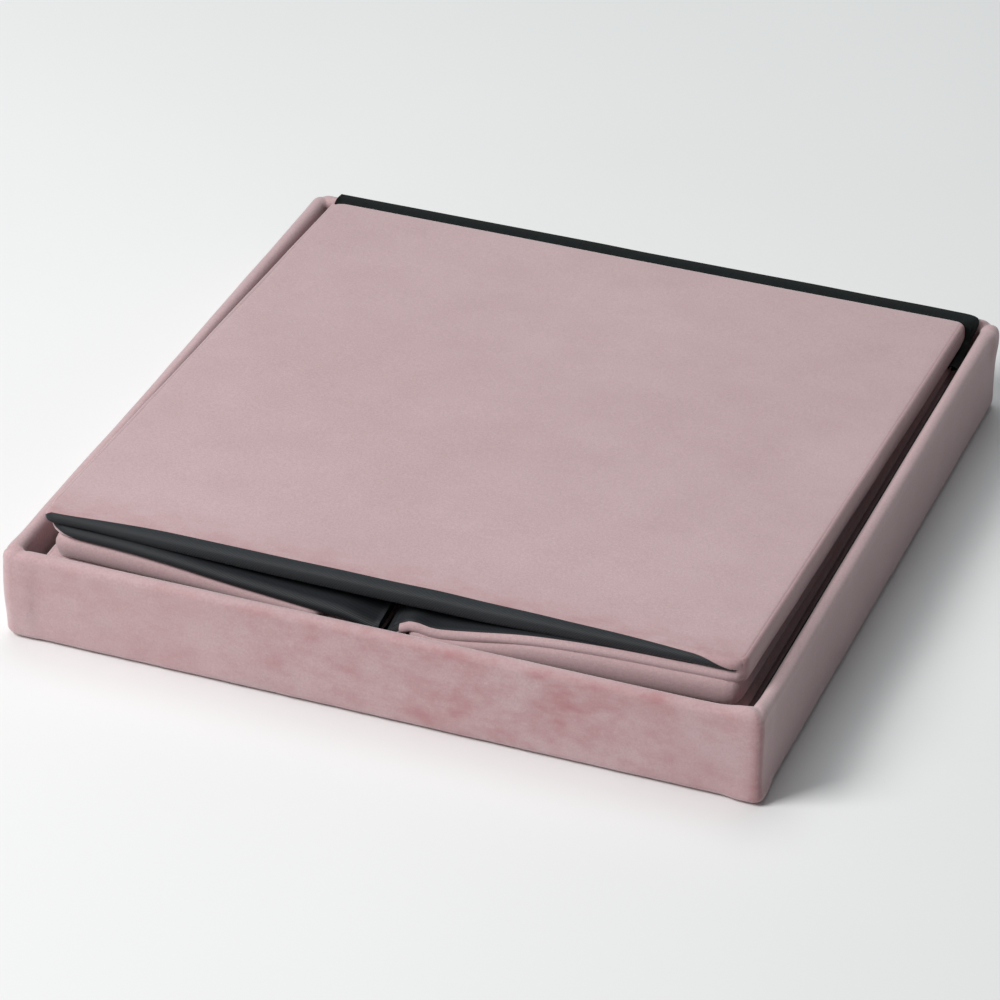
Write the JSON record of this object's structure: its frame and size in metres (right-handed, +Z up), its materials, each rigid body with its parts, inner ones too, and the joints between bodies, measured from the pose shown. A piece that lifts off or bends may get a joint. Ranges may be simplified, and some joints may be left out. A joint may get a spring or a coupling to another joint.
{
  "type": "folding storage ottoman",
  "caption": "Square velvet storage ottoman folded flat: hinged walls with inward creased sides lie in the tray of the upturned padded lid.",
  "frame": {"origin": "middle of the face that the upturned lid rests on", "axes": "+Z up, +Y from the sprung open end of the folded walls towards their bottom end, X along the side wall creases' spacing"},
  "size_m": [0.38, 0.38, 0.0639],
  "materials": {
    "pink_velvet": "short-pile dusty pink velvet",
    "dark_lining": "charcoal twill-ribbed lining cloth",
    "black_nonwoven": "matte black nonwoven cloth",
    "fibreboard": "raw medium density fibreboard",
    "foam": "open-cell upholstery foam"
  },
  "bodies": {
    "lid": {"seat_velvet": "pink_velvet", "rim_velvet": "pink_velvet", "seat_foam": "foam", "seat_board": "fibreboard", "rim_board_front": "fibreboard", "rim_board_rear": "fibreboard", "rim_board_left": "fibreboard", "rim_board_right": "fibreboard", "lid_lining": "dark_lining"},
    "base": {"base_board": "fibreboard", "base_cover": "black_nonwoven"},
    "rear_wall": {"rear_wall_velvet": "pink_velvet", "rear_wall_board": "fibreboard", "rear_wall_lining": "dark_lining", "rear_wall_hem": "black_nonwoven"},
    "left_lower": {"left_lower_velvet": "pink_velvet", "left_lower_board": "fibreboard", "left_lower_lining": "dark_lining", "left_lower_hem": "black_nonwoven"},
    "left_upper": {"left_upper_velvet": "pink_velvet", "left_upper_board": "fibreboard", "left_upper_lining": "dark_lining", "left_upper_hem": "black_nonwoven"},
    "front_wall": {"front_wall_velvet": "pink_velvet", "front_wall_board": "fibreboard", "front_wall_lining": "dark_lining", "bottom_cloth": "black_nonwoven"},
    "right_upper": {"right_upper_velvet": "pink_velvet", "right_upper_board": "fibreboard", "right_upper_lining": "dark_lining", "right_upper_hem": "black_nonwoven"},
    "right_lower": {"right_lower_velvet": "pink_velvet", "right_lower_board": "fibreboard", "right_lower_lining": "dark_lining", "right_lower_hem": "black_nonwoven"}
  },
  "joints": [
    {"name": "base_lift", "type": "slide", "parent": "lid", "child": "base", "axis": [0, 0, 1], "range_m": [0, 0.1]},
    {"name": "walls_lift", "type": "slide", "parent": "base", "child": "rear_wall", "axis": [0, 0, 1], "range_m": [0, 0.2]},
    {"name": "walls_unfold", "type": "hinge", "parent": "rear_wall", "child": "left_lower", "pos_m": [-0.17465, 0, 0.03325], "axis": [0, -1, 0], "range_deg": [0, 90]},
    {"name": "left_crease", "type": "hinge", "parent": "left_lower", "child": "left_upper", "pos_m": [-0.00035, 0.1765, 0.03945], "axis": [0, -0.9998, 0.0175], "range_deg": [-180, 0]},
    {"name": "front_left_edge", "type": "hinge", "parent": "left_upper", "child": "front_wall", "pos_m": [-0.17465, 0.17672, 0.04565], "axis": [0, -0.9994, 0.0349], "range_deg": [0, 90]},
    {"name": "front_right_edge", "type": "hinge", "parent": "front_wall", "child": "right_upper", "pos_m": [0.17465, 0.17672, 0.04565], "axis": [0, -0.9994, 0.0349], "range_deg": [0, 90]},
    {"name": "right_crease", "type": "hinge", "parent": "right_upper", "child": "right_lower", "pos_m": [0.00035, 0.1765, 0.03945], "axis": [0, -0.9998, 0.0175], "range_deg": [-180, 0]}
  ],
  "couplings": [
    {"joint": "left_crease", "follows": "walls_unfold", "ratio": -2},
    {"joint": "front_left_edge", "follows": "walls_unfold", "ratio": 1},
    {"joint": "front_right_edge", "follows": "walls_unfold", "ratio": 1},
    {"joint": "right_crease", "follows": "walls_unfold", "ratio": -2}
  ]
}
